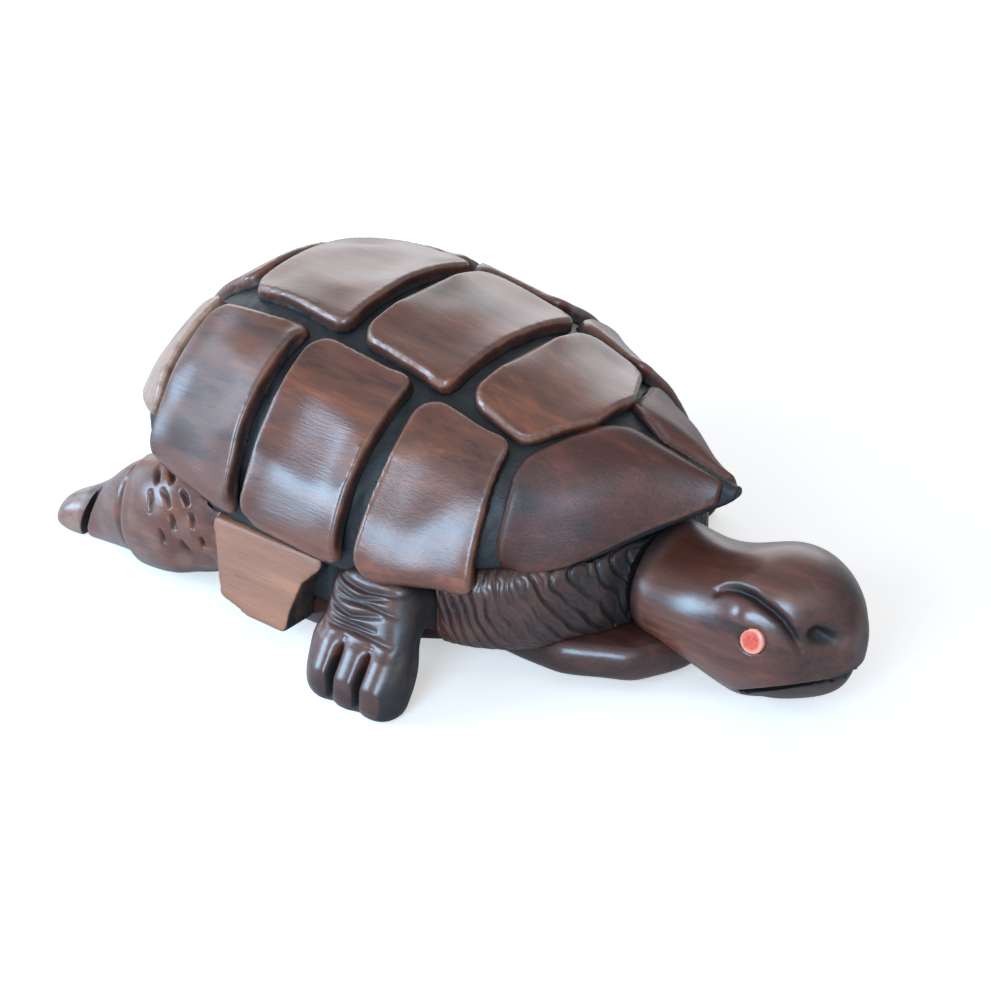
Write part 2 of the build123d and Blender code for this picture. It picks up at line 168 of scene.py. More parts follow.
# %% Ground
GROUND_SIZE = 6.0
bpy.ops.mesh.primitive_plane_add(size=GROUND_SIZE, location=(0, 0, 0))
ground = bpy.context.active_object
ground.name = "ground"
ground_paint = bpy.data.materials.new("ground_paper")
ground_paint.use_nodes = True
paper = ground_paint.node_tree
paper_shader = paper.nodes["Principled BSDF"]
paper_shader.inputs["Roughness"].default_value = 0.9
paper_shader.inputs["Specular IOR Level"].default_value = 0.0
paper_shader.inputs["Emission Strength"].default_value = 1.0
paper_noise = paper.nodes.new("ShaderNodeTexNoise")
paper_noise.inputs["Scale"].default_value = 400
paper_ramp = paper.nodes.new("ShaderNodeValToRGB")
paper_ramp.color_ramp.elements[0].color = (0.84, 0.84, 0.84, 1)
paper_ramp.color_ramp.elements[1].color = (0.88, 0.88, 0.88, 1)
paper_place = paper.nodes.new("ShaderNodeTexCoord")
paper_path = paper.nodes.new("ShaderNodeLightPath")
paper.links.new(paper_place.outputs["Object"], paper_noise.inputs["Vector"])
paper.links.new(paper_noise.outputs["Fac"], paper_ramp.inputs["Fac"])
paper.links.new(paper_ramp.outputs["Color"], paper_shader.inputs["Base Color"])
paper_reach = paper.nodes.new("ShaderNodeVectorMath")
paper_reach.operation = "LENGTH"
paper_glow = paper.nodes.new("ShaderNodeMapRange")
for label, number in (("From Min", 0.5), ("From Max", 1.7), ("To Min", 0.50), ("To Max", 0.95)):
    paper_glow.inputs[label].default_value = number
paper_seen = paper.nodes.new("ShaderNodeMath")
paper_seen.operation = "MULTIPLY"
paper.links.new(paper_place.outputs["Object"], paper_reach.inputs[0])
paper.links.new(paper_reach.outputs["Value"], paper_glow.inputs["Value"])
paper.links.new(paper_glow.outputs["Result"], paper_seen.inputs[0])
paper.links.new(paper_path.outputs["Is Camera Ray"], paper_seen.inputs[1])
paper.links.new(paper_seen.outputs[0], paper_shader.inputs["Emission Color"])
ground.data.materials.append(ground_paint)
print("ground:", GROUND_SIZE, "m across")

# %% [markdown]
# ## Shared effects
# Three effects recur in every timber surface, so each is a node group that is built once and placed
# in each finish with its own values. A few helpers keep the node code short.

# %% Helpers for node trees


def node(tree, kind, **settings):
    made = tree.nodes.new(kind)
    for key, value in settings.items():
        setattr(made, key, value)
    return made


def link(tree, source, target):
    tree.links.new(source, target)


def new_group(name, inputs, outputs):
    """Empty shader group; inputs are (name, kind, default)."""
    tree = bpy.data.node_groups.new(name, "ShaderNodeTree")
    for label, kind, default in inputs:
        made = tree.interface.new_socket(name=label, in_out="INPUT", socket_type=kind)
        made.default_value = default
    for label, kind in outputs:
        tree.interface.new_socket(name=label, in_out="OUTPUT", socket_type=kind)
    return tree, tree.nodes.new("NodeGroupInput"), tree.nodes.new("NodeGroupOutput")


def stretched_noise(tree, stretch, detail, distortion, roughness=0.6):
    """Noise on the piece's own coordinates, drawn out by different scales along each axis."""
    coords = node(tree, "ShaderNodeTexCoord")
    mapping = node(tree, "ShaderNodeMapping")
    mapping.inputs["Scale"].default_value = stretch
    noise = node(tree, "ShaderNodeTexNoise")
    noise.inputs["Scale"].default_value = 1.0
    noise.inputs["Detail"].default_value = detail
    noise.inputs["Roughness"].default_value = roughness
    noise.inputs["Distortion"].default_value = distortion
    link(tree, coords.outputs["Object"], mapping.inputs["Vector"])
    link(tree, mapping.outputs["Vector"], noise.inputs["Vector"])
    return noise.outputs["Fac"]


def math_node(tree, operation, a, b):
    made = node(tree, "ShaderNodeMath", operation=operation)
    for slot, value in enumerate((a, b)):
        if isinstance(value, (int, float)):
            made.inputs[slot].default_value = value
        else:
            link(tree, value, made.inputs[slot])
    return made.outputs[0]


def mix_colour(tree, factor, a, b):
    made = node(tree, "ShaderNodeMix", data_type="RGBA")
    for slot, value in ((0, factor), (6, a), (7, b)):
        if hasattr(value, "is_linked"):
            link(tree, value, made.inputs[slot])
        else:
            made.inputs[slot].default_value = value
    return made.outputs[2]


def remap(tree, value, low, high, to_low=0.0, to_high=1.0):
    made = node(tree, "ShaderNodeMapRange", interpolation_type="SMOOTHSTEP")
    link(tree, value, made.inputs["Value"])
    limits = (("From Min", low), ("From Max", high), ("To Min", to_low), ("To Max", to_high))
    for label, number in limits:
        made.inputs[label].default_value = number
    return made.outputs["Result"]


print("helpers for node trees are ready")

# %% [markdown]
# ## Grain
# The figure of the timber runs along the turtle. Three noises, drawn out along its length and
# ranging from broad to fine, add up to one tone. The tone then picks a dark, a middle or a light
# colour.

# %% Grain group
grain, grain_in, grain_out = new_group(
    "timber_grain",
    [("Light", "NodeSocketColor", (0.3, 0.1, 0.06, 1)),
     ("Middle", "NodeSocketColor", (0.2, 0.06, 0.04, 1)),
     ("Dark", "NodeSocketColor", (0.06, 0.02, 0.015, 1))],
    [("Color", "NodeSocketColor")],
)
broad = stretched_noise(grain, (14, 70, 70), detail=3, distortion=0.6, roughness=0.55)
streak = stretched_noise(grain, (22, 330, 330), detail=4, distortion=0.4)
fibre = stretched_noise(grain, (110, 1500, 1500), detail=3, distortion=0.0)
tone = math_node(grain, "MULTIPLY", broad, 0.5)
tone = math_node(grain, "ADD", tone, math_node(grain, "MULTIPLY", streak, 0.35))
tone = math_node(grain, "ADD", tone, math_node(grain, "MULTIPLY", fibre, 0.15))
past_dark = remap(grain, tone, 0.36, 0.50)
past_middle = remap(grain, tone, 0.48, 0.66)
to_middle = mix_colour(grain, past_dark, grain_in.outputs["Dark"], grain_in.outputs["Middle"])
to_light = mix_colour(grain, past_middle, to_middle, grain_in.outputs["Light"])
link(grain, to_light, grain_out.inputs["Color"])
print("group:", grain.name)

# %% [markdown]
# ## Wear
# Rims are made pale, partly as the rubbing of hands and partly as a painted highlight, and cuts
# are darkened, partly as stain and partly as painted shade. The carving stores both on the mesh, as
# the attributes rim and cut, and this group mixes the pale and the dark colours in by them.

# %% Wear group
wear, wear_in, wear_out = new_group(
    "worn_and_lit_rims_stained_and_shaded_cuts",
    [("Color", "NodeSocketColor", (0.2, 0.06, 0.04, 1)),
     ("Rubbed and lit", "NodeSocketColor", (0.35, 0.2, 0.15, 1)),
     ("Stain and shade", "NodeSocketColor", (0.01, 0.009, 0.01, 1)),
     ("Rim amount", "NodeSocketFloat", 0.6)],
    [("Color", "NodeSocketColor"), ("Cut", "NodeSocketFloat")],
)
rim_mark = node(wear, "ShaderNodeAttribute", attribute_name="rim")
cut_mark = node(wear, "ShaderNodeAttribute", attribute_name="cut")
patchy = stretched_noise(wear, (260, 260, 260), detail=4, distortion=0.2)
pale_spots = remap(wear, patchy, 0.30, 0.62, 0.35, 1.0)
rim_mask = math_node(wear, "MULTIPLY", rim_mark.outputs["Fac"], pale_spots)
rim_mask = math_node(wear, "MULTIPLY", rim_mask, wear_in.outputs["Rim amount"])
# The pale colour is partly rubbed wear and partly a painted highlight on the rims.
rubbed_and_lit = mix_colour(wear, rim_mask, wear_in.outputs["Color"], wear_in.outputs["Rubbed and lit"])
# The dark colour is partly stain and partly painted shade in cuts, creases and shaded faces.
dark_spots = remap(wear, patchy, 0.25, 0.60, 0.75, 1.0)
cut_soft = math_node(wear, "MULTIPLY", cut_mark.outputs["Fac"], dark_spots)
stained_and_shaded = mix_colour(wear, cut_soft, rubbed_and_lit, wear_in.outputs["Stain and shade"])
link(wear, stained_and_shaded, wear_out.inputs["Color"])
link(wear, cut_soft, wear_out.inputs["Cut"])
print("group:", wear.name)

# %% [markdown]
# ## Pores and polish
# Open pores and smears of polish break up the gloss. A fine noise gives the relief and a broad one
# the smears, and a cut is rougher and keeps hardly any lacquer.

# %% Pores group
pores, pores_in, pores_out = new_group(
    "pores_and_polish",
    [("Gloss", "NodeSocketFloat", 0.3), ("Spread", "NodeSocketFloat", 0.2),
     ("Cut", "NodeSocketFloat", 0.0), ("Lacquer", "NodeSocketFloat", 0.5)],
    [("Roughness", "NodeSocketFloat"), ("Height", "NodeSocketFloat"), ("Coat", "NodeSocketFloat")],
)
pore = stretched_noise(pores, (260, 2600, 2600), detail=2, distortion=0.0, roughness=0.5)
smear = stretched_noise(pores, (70, 110, 110), detail=4, distortion=0.5)
smears = math_node(pores, "SUBTRACT", smear, 0.45)
smears = math_node(pores, "MULTIPLY", smears, pores_in.outputs["Spread"])
gloss = math_node(pores, "ADD", pores_in.outputs["Gloss"], smears)
cut_matt = math_node(pores, "MULTIPLY", pores_in.outputs["Cut"], 0.30)
link(pores, math_node(pores, "ADD", gloss, cut_matt), pores_out.inputs["Roughness"])
cut_bare = math_node(pores, "MULTIPLY", pores_in.outputs["Cut"], 0.9)
uncut = math_node(pores, "SUBTRACT", 1.0, cut_bare)
lacquer = math_node(pores, "MULTIPLY", uncut, pores_in.outputs["Lacquer"])
link(pores, lacquer, pores_out.inputs["Coat"])
relief = math_node(pores, "ADD", pore, math_node(pores, "MULTIPLY", smear, 0.5))
link(pores, relief, pores_out.inputs["Height"])
print("group:", pores.name)

# %% [markdown]
# ## Timber finish
# The plates, the body, the pale bridge plates and the stained grooves are one timber under one
# satin lacquer. They differ in colour, in how pale their rims are made by wear and painted
# highlight, and in gloss, so one function makes them all from the three groups.

# %% Timber


def timber(name, light, middle, dark, rubbed_and_lit, gloss, relief, coat, rim_amount=0.5, spread=0.22):
    """Lacquered timber in three grain colours and a pale one, for rubbed rims and painted
    highlights.
    """
    paint = bpy.data.materials.new(name)
    paint.use_nodes = True
    tree = paint.node_tree
    shader = tree.nodes["Principled BSDF"]
    shader.inputs["Coat Roughness"].default_value = 0.24
    shader.inputs["Specular IOR Level"].default_value = 0.5
    grain_node = node(tree, "ShaderNodeGroup", node_tree=grain)
    wear_node = node(tree, "ShaderNodeGroup", node_tree=wear)
    pores_node = node(tree, "ShaderNodeGroup", node_tree=pores)
    for label, colour in (("Light", light), ("Middle", middle), ("Dark", dark)):
        grain_node.inputs[label].default_value = (*colour, 1)
    wear_node.inputs["Rubbed and lit"].default_value = (*rubbed_and_lit, 1)
    wear_node.inputs["Rim amount"].default_value = rim_amount
    pores_node.inputs["Gloss"].default_value = gloss
    pores_node.inputs["Spread"].default_value = spread
    pores_node.inputs["Lacquer"].default_value = coat
    bump = node(tree, "ShaderNodeBump")
    bump.inputs["Strength"].default_value = relief
    bump.inputs["Distance"].default_value = 0.0002
    link(tree, grain_node.outputs["Color"], wear_node.inputs["Color"])
    link(tree, wear_node.outputs["Color"], shader.inputs["Base Color"])
    link(tree, wear_node.outputs["Cut"], pores_node.inputs["Cut"])
    link(tree, pores_node.outputs["Roughness"], shader.inputs["Roughness"])
    link(tree, pores_node.outputs["Coat"], shader.inputs["Coat Weight"])
    link(tree, pores_node.outputs["Height"], bump.inputs["Height"])
    link(tree, bump.outputs["Normal"], shader.inputs["Normal"])
    return paint


print("timber finish is ready")

# %% [markdown]
# ## The seven timbers
# The colours are what the wood shows in even light, except on the front and rear corner plates. The
# front plates are red, and painted darker as shade where they hang over the neck. The rear corner
# plates are paler, partly their own colour and partly a painted glare. The bridge plates are paler
# too, and the grooves are stained nearly black.

# %% Timbers
plate_timber = timber(
    "plate_timber",
    light=(0.28, 0.082, 0.038), middle=(0.132, 0.038, 0.021), dark=(0.045, 0.014, 0.010),
    rubbed_and_lit=(0.42, 0.26, 0.20), gloss=0.32, relief=0.22, coat=0.50, rim_amount=0.7)
# Darker than the plate timber, as painted shade on the plates that hang over the neck.
leaf_timber_painted_shade = timber(
    "front_plate_timber_painted_shade",
    light=(0.15, 0.036, 0.021), middle=(0.062, 0.016, 0.011), dark=(0.018, 0.007, 0.006),
    rubbed_and_lit=(0.26, 0.15, 0.11), gloss=0.45, relief=0.30, coat=0.08)
# Paler than the plate timber, partly the plates' own colour and partly a painted glare.
corner_timber_painted_glare = timber(
    "corner_plate_timber_painted_glare",
    light=(0.60, 0.345, 0.235), middle=(0.46, 0.25, 0.165), dark=(0.27, 0.13, 0.09),
    rubbed_and_lit=(0.68, 0.49, 0.40), gloss=0.34, relief=0.25, coat=0.50)
body_timber = timber(
    "body_timber",
    light=(0.105, 0.034, 0.023), middle=(0.046, 0.015, 0.011), dark=(0.016, 0.007, 0.006),
    rubbed_and_lit=(0.27, 0.15, 0.11), gloss=0.32, relief=0.25, coat=0.50)
head_timber = timber(
    "head_timber",
    light=(0.25, 0.082, 0.048), middle=(0.125, 0.038, 0.024), dark=(0.028, 0.010, 0.009),
    rubbed_and_lit=(0.34, 0.19, 0.15), gloss=0.28, relief=0.14, coat=0.50, spread=0.20)
bridge_timber = timber(
    "bridge_timber",
    light=(0.42, 0.160, 0.080), middle=(0.30, 0.114, 0.060), dark=(0.17, 0.066, 0.040),
    rubbed_and_lit=(0.50, 0.30, 0.23), gloss=0.48, relief=0.30, coat=0.08)
groove_timber = timber(
    "groove_stain",
    light=(0.018, 0.021, 0.024), middle=(0.010, 0.012, 0.014), dark=(0.005, 0.006, 0.007),
    rubbed_and_lit=(0.09, 0.06, 0.055), gloss=0.50, relief=0.35, coat=0.0)
print("timbers:", len(bpy.data.materials))

# %% [markdown]
# ## From solid to carved block
# Each piece begins as an evenly meshed copy of its solid, as a carver begins with a sawn blank. The
# copy's loose triangles are merged, a voxel remesh gives it small even faces all over, and a few
# smoothing passes take the machine edge off. The carving then moves vertices in code, because a
# gouge follows the hand rather than any modelling operator.

# %% Blanks
TABLE_GAP = 0.02


def blank(node_name, voxel, passes):
    """Evenly meshed, slightly softened copy of a solid. Sizes are in millimetres."""
    piece = bpy.data.objects.new(node_name + "_carved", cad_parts[node_name].data.copy())
    scene.collection.objects.link(piece)
    bpy.ops.object.select_all(action="DESELECT")
    piece.select_set(True)
    bpy.context.view_layer.objects.active = piece
    bpy.ops.object.mode_set(mode="EDIT")
    bpy.ops.mesh.select_all(action="SELECT")
    bpy.ops.mesh.remove_doubles(threshold=1e-6)
    bpy.ops.object.mode_set(mode="OBJECT")
    remesh = piece.modifiers.new("even_faces", "REMESH")
    remesh.mode = "VOXEL"
    remesh.voxel_size = voxel * MM
    soften = piece.modifiers.new("softened", "SMOOTH")
    soften.factor = 0.5
    soften.iterations = passes
    for name in ("even_faces", "softened"):
        bpy.ops.object.modifier_apply(modifier=name)
    bpy.ops.object.shade_smooth()
    return piece


def read(piece, what="co"):
    values = np.empty(len(piece.data.vertices) * 3, dtype=np.float32)
    piece.data.vertices.foreach_get(what, values)
    values = values.reshape(-1, 3).astype(float)
    return values / MM if what == "co" else values


def write(piece, points):
    """Puts vertices back, none of them under the table that the figure stands on."""
    points[:, 2] = np.maximum(points[:, 2], TABLE_GAP)
    piece.data.vertices.foreach_set("co", (points * MM).astype(np.float32).ravel())
    piece.data.update()


print("solids to cut blanks from:", len(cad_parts))

# %% [markdown]
# ## Rubbing down and marking
# Carved wood is scraped and rubbed where it should be smooth. A Smooth modifier with a vertex group
# does that, most where the group is strongest. What the finish has to know is stored as attributes.

# %% Rubbing and marking


def mark(piece, name, values):
    """Stores what the finish needs to know about each vertex."""
    layer = piece.data.attributes.get(name) or piece.data.attributes.new(name, "FLOAT", "POINT")
    layer.data.foreach_set("value", np.clip(values, 0, 1).astype(np.float32))


def rub_down(piece, amount, passes):
    """Smooths a piece most where the amount, from 0 to 1, is highest."""
    group = piece.vertex_groups.new(name="rubbed_and_lit")
    for level in range(1, 11):
        chosen = np.nonzero(np.round(amount * 10) == level)[0]
        group.add(chosen.tolist(), level / 10, "REPLACE")
    soften = piece.modifiers.new("rubbed_down", "SMOOTH")
    soften.factor = 0.5
    soften.iterations = passes
    soften.vertex_group = group.name
    bpy.ops.object.modifier_apply(modifier="rubbed_down")
    piece.vertex_groups.clear()


def blur(piece, values, times):
    """Averages values over neighbouring vertices, so that no mesh step shows in them."""
    ends = np.empty(len(piece.data.edges) * 2, dtype=np.int32)
    piece.data.edges.foreach_get("vertices", ends)
    a, b = ends.reshape(-1, 2).T
    size = len(values)
    count = np.maximum(np.bincount(a, minlength=size) + np.bincount(b, minlength=size), 1)
    for _ in range(times):
        around = np.bincount(a, values[b], size) + np.bincount(b, values[a], size)
        values = 0.5 * values + 0.5 * around / count
    return values


def finish_piece(piece, node_name, paint):
    piece.data.materials.clear()
    piece.data.materials.append(paint)
    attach(piece, "root")
    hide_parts(node_name)


print("rubbing and marking are ready")

# %% [markdown]
# ## Measuring
# The carving asks five things of a surface: a soft step between two values, a bell-shaped fall to
# both sides of a line, an unevenness like a hand's, the way to the nearest of some points, and the
# distance to a line.

# %% Measures


def step(values, low, high):
    t = np.clip((values - low) / (high - low), 0, 1)
    return t * t * (3 - 2 * t)


def bell(distance, width):
    """1 on a line, falling to a third at the given width from it."""
    return np.exp(-((distance / width) ** 2))


def wobble(points, wavelength, seed):
    """Smooth, seeded unevenness between about -1 and 1, as a hand leaves it."""
    source = np.random.default_rng(seed)
    total = np.zeros(len(points))
    for _ in range(7):
        way = source.normal(size=3)
        way *= 2 * math.pi / (wavelength * source.uniform(0.7, 1.5) * np.linalg.norm(way))
        total += np.sin(points @ way + source.uniform(0, 2 * math.pi))
    return total / 3.5


def nearest(points, others):
    """Step from each point to the closest of some others, and its length."""
    tree = kdtree.KDTree(len(others))
    for i, other in enumerate(others):
        tree.insert(other, i)
    tree.balance()
    way = np.array([tree.find(p)[0] for p in points]) - points
    return way, np.linalg.norm(way, axis=1)


def to_line(points, line):
    """Distance to a line of straight runs, and how far along it its nearest place is, 0 to 1."""
    line = np.array(line, float)
    runs = np.linalg.norm(np.diff(line, axis=0), axis=1)
    starts = np.concatenate(([0], np.cumsum(runs))) / runs.sum()
    best = np.full(len(points), 1e9)
    share = np.zeros(len(points))
    for i, (a, b) in enumerate(zip(line, line[1:])):
        t = np.clip((points - a) @ (b - a) / runs[i] ** 2, 0, 1)
        away = np.linalg.norm(points - a - t[:, None] * (b - a), axis=1)
        closer = away < best
        best[closer] = away[closer]
        share[closer] = starts[i] + t[closer] * runs[i] / runs.sum()
    return best, share


print("a bell falls to", round(float(bell(1.0, 1.0)), 2), "at its width")

# %% [markdown]
# ## Shell core
# The core is the floor of every groove. On the real shell it was chiselled flat and stained nearly
# black, with short tool marks left along the grooves, so its surface gets a slight unevenness and
# the darkest finish.

# %% Shell core
CHISEL_DEPTH = 0.08

core = blank("shell_core", voxel=0.62, passes=3)
points = read(core)
normals = read(core, "normal")
chisel = 0.10 * wobble(points, 4.5, 1) + 0.05 * wobble(points, 1.6, 2)
write(core, points + normals * (chisel - CHISEL_DEPTH)[:, None])
mark(core, "rim", np.zeros(len(points)))
mark(core, "cut", np.zeros(len(points)))
finish_piece(core, "shell_core", groove_timber)
print("core vertices:", len(points))

# %% [markdown]
# ## Plate edges
# The plates have drawn-out corners, and the lower edges of the side plates hang down over the rim.
# Both are pulls on the blank that fade out over a few millimetres.

# %% Plate edges
DOME_MIDDLE = np.array((-9.0, 0.0, 24.5))
DOME_RADII = np.array((72.0, 46.0, 38.0))
STATIONS = 24


def dome_out(points):
    """Rough outward direction of the shell at each point."""
    way = (points - DOME_MIDDLE) / DOME_RADII**2
    return way / np.linalg.norm(way, axis=1)[:, None]


def square_corner(points, way, amount, reach=2.8):
    """Draws out the corner of a plate that lies furthest in a direction."""
    way = np.array(way) / np.linalg.norm(way)
    corner = points[np.argmax(points @ way)]
    pull = amount * bell(np.linalg.norm(points - corner, axis=1), reach)
    return points + pull[:, None] * way


def lower_edge(points, drop, flare, reach=11.0):
    """Draws a plate's lower edge down, by amounts at its rear and front, and outwards."""
    x = points[:, 0]
    ends = np.linspace(x.min(), x.max(), STATIONS + 1)
    station = np.clip(np.digitize(x, ends) - 1, 0, STATIONS - 1)
    lowest = np.array([points[station == i, 2].min() for i in range(STATIONS)])
    height = points[:, 2] - np.interp(x, (ends[1:] + ends[:-1]) / 2, lowest)
    low_part = 1 - step(height, 0, reach)
    sideways = dome_out(points) * (1, 1, 0)
    sideways /= np.maximum(np.linalg.norm(sideways, axis=1), 1e-6)[:, None]
    moved = points + (flare * low_part)[:, None] * sideways
    moved[:, 2] -= np.interp(x, (x.min(), x.max()), drop) * low_part
    return moved


print("lowest edge is sought at", STATIONS, "places along a plate")

# %% [markdown]
# ## Face, wall and underside
# A plate's face, its wall in the groove and its underside are finished differently, so each vertex
# is sorted by the way it faces. The distance to the nearest vertex of the other kind says how far
# it lies from the rim. Rims that look to the rear and down are rolled, and the others are left
# crisp.

# %% Sorting a plate
FACE_FROM = 0.5
UNDER_TO = -0.45
REAR_AND_DOWN = np.array((-0.78, 0.0, -0.62))
ROLL_TURN = (0.05, 0.75)


def sort_plate(piece, points, normals):
    """Face, wall and underside, the distances in and down from the rim, and how rolled it is."""
    facing = blur(piece, (normals * dome_out(points)).sum(1), 3)
    under = facing < UNDER_TO
    wall = (facing < FACE_FROM) & ~under
    face = ~under & ~wall
    away, below, rolled = np.zeros((3, len(points)))
    way, away[face] = nearest(points[face], points[wall])
    rolled[face] = step(way @ REAR_AND_DOWN / np.maximum(away[face], 1e-6), *ROLL_TURN)
    _, below[wall] = nearest(points[wall], points[face])
    rolled[wall] = step(normals[wall] @ REAR_AND_DOWN, *ROLL_TURN)
    return face, wall, under, away, below, blur(piece, rolled, 6)


print("rims are rolled towards", REAR_AND_DOWN)

# %% [markdown]
# ## Carving a plate
# The face is dished inside a narrow rim, and scraped smooth. Rolled rims are made pale, partly as
# rubbed wear and partly as a painted highlight. The wall is left rough from the chisel, and darker
# towards the bottom of the groove. The underside is let into the core, so that no gap shows under
# the wall.

# %% Carving a plate
ROLL_HEIGHT, ROLL_AT, ROLL_WIDTH = 0.20, 1.9, 1.0
FALL_DEPTH, FALL_WIDTH = 0.30, 0.7
CRISP_HEIGHT, CRISP_WIDTH = 0.45, 0.8
DISH_FROM, DISH_TO = 0.3, 6.5
INTO_CORE = 0.6
REAR_REACH = 14


def carve_plate(node_name, paint, hollow, seed, voxel=0.34, passes=5,
                drop=None, flare=0.0, rear=0.0, corners=()):
    """Carves and finishes a plate. Hollow is how deep its face is dished."""
    piece = blank(node_name, voxel, passes)
    points = read(piece)
    if drop:
        points = lower_edge(points, drop, flare)
    rearmost = points[:, 0].min()
    points[:, 0] -= rear * (1 - step(points[:, 0], rearmost, rearmost + REAR_REACH))
    for way, amount in corners:
        points = square_corner(points, way, amount)
    write(piece, points)
    normals = read(piece, "normal")
    face, wall, under, away, below, rolled = sort_plate(piece, points, normals)

    roll = ROLL_HEIGHT * bell(away - ROLL_AT, ROLL_WIDTH) - FALL_DEPTH * bell(away, FALL_WIDTH)
    crisp = (1 - rolled) * CRISP_HEIGHT * bell(away + below, CRISP_WIDTH) * (face | wall)
    shape = face * rolled * roll + crisp - hollow * step(away, DISH_FROM, DISH_TO)
    shape += 0.08 * wobble(points, 12, seed) * step(away, 0, 2)
    rough = 0.16 * wobble(points, 9, seed + 1) + 0.08 * wobble(points, 2.4, seed + 2)
    shape += wall * rough * step(below, 0.2, 1.0)
    shape[under] = INTO_CORE
    write(piece, points + normals * blur(piece, shape, 3)[:, None])
    rub_down(piece, face * step(away, 0.9, 2.6), 320)
    rub_down(piece, 0.8 * wall + face * bell(away, 1.0), 3)

    # pale is rubbed wear plus a painted highlight on the rolled rims and on the top of the wall.
    pale = face * (0.12 + 0.88 * rolled) * bell(away - 0.3, 0.6)
    pale += 0.35 * wall * bell(below, 0.45)
    mark(piece, "rim", blur(piece, pale, 3))
    mark(piece, "cut", blur(piece, wall * step(below, 0.35, 1.9) + under, 3))
    finish_piece(piece, node_name, paint)


print("faces are dished from", DISH_FROM, "to", DISH_TO, "mm inside the rim")

# %% [markdown]
# ## The plates
# Three plates run along the back and three down each side, with one over the tail, a leaf over each
# side of the neck and one at each rear corner. The foremost side plates hang lowest and flare most.

# %% Plates
PLATE_DISH, EDGE_DISH, LEAF_DISH = 0.7, 0.3, 0.25
COSTAL_DROPS = {"front": (3.4, 3.2), "middle": (0.6, 1.6), "rear": (0.3, 1.2)}
COSTAL_FLARES = {"front": 2.6, "middle": 1.5, "rear": 1.5}
FORE_CORNERS = [((0.7, -0.7, 0), 1.2), ((0.7, 0.7, 0), 1.2)]
BACK_CORNERS = {"front": [], "middle": FORE_CORNERS, "rear": FORE_CORNERS}
LEAF_CORNERS = [((-0.75, 0, -0.66), 1.2)]

for number, name in enumerate(("front", "middle", "rear")):
    carve_plate("vertebral_scute_" + name, plate_timber, PLATE_DISH, 30 + number,
                corners=BACK_CORNERS[name])
    for offset, (side, inwards) in enumerate((("right", 0.35), ("left", -0.35))):
        side_corners = [((0.75, 0, -0.66), 1.3), ((0.75, inwards, 0.55), 1.3)]
        carve_plate(f"{side}_costal_scute_{name}", plate_timber, PLATE_DISH,
                    40 + 2 * number + offset, drop=COSTAL_DROPS[name],
                    flare=COSTAL_FLARES[name], corners=side_corners)
carve_plate("vertebral_scute_tail", plate_timber, EDGE_DISH, 50)
for offset, side in enumerate(("right", "left")):
    carve_plate(f"{side}_front_marginal_scute", leaf_timber_painted_shade, LEAF_DISH, 52 + offset, voxel=0.25,
                passes=12, drop=(4.2, 0.4), flare=0.8, rear=2.6, corners=LEAF_CORNERS)
    carve_plate(f"{side}_rear_marginal_scute", corner_timber_painted_glare, EDGE_DISH, 54 + offset)

# %% [markdown]
# ## Head
# The head is the smoothest part. A deep crease sweeps from behind the eye, over it and down in
# front, under a heavy brow. The nostril is a slanting pit. They are lines through places on the
# surface, given for the right side in millimetres and mirrored for the left.

# %% Lines on the head
BROW_CREASE = [
    (60.8, -10.4, 24.9), (62.8, -9.9, 26.0), (65.0, -10.0, 26.6), (68.4, -10.4, 26.8),
    (72.8, -10.7, 25.5), (75.0, -10.5, 24.2), (76.7, -10.3, 22.5), (78.2, -10.0, 20.4),
    (78.7, -9.8, 19.1),
]
BROW_RIDGE = [
    (63.0, -8.6, 28.2), (67.5, -8.0, 29.2), (72.0, -8.2, 28.4), (76.0, -8.0, 25.6),
    (79.2, -7.6, 21.8),
]
NOSTRIL = [(80.5, -7.4, 21.7), (82.0, -6.2, 21.0), (84.3, -3.5, 19.9)]
NOSTRIL_BLANK = (80.2, -7.6, 20.8)
CHEEK_CREASE = [(50.0, -12.2, 12.1), (57.6, -13.7, 14.2), (65.0, -14.6, 16.4)]
EYE_MOUND = (67.6, -12.3, 23.8)


def mirrored(line, side):
    return [(x, y * side, z) for x, y, z in line]


def to_spot(points, spot, side):
    """Distance to a place on the right side, or to its mirror image."""
    return np.linalg.norm(points - np.array(mirrored([spot], side)[0]), axis=1)


print("places along the brow crease:", len(BROW_CREASE))

# %% [markdown]
# ## Cutting the head
# The solid's plain nostril is rubbed down to a shallow dip first. Then each vertex sinks or rises
# by how near it is to a line. Painted shade goes into the deep places, and a painted highlight
# onto the lower end of each nostril.

# %% Cutting the head
head = blank("head", voxel=0.34, passes=4)
points = read(head)
pits = [to_spot(points, NOSTRIL_BLANK, side) for side in (1, -1)]
rub_down(head, step(4.4 - np.minimum(*pits), 0, 1.6), 400)
points = read(head)
normals = read(head, "normal")
shape = 0.12 * wobble(points, 14, 60)
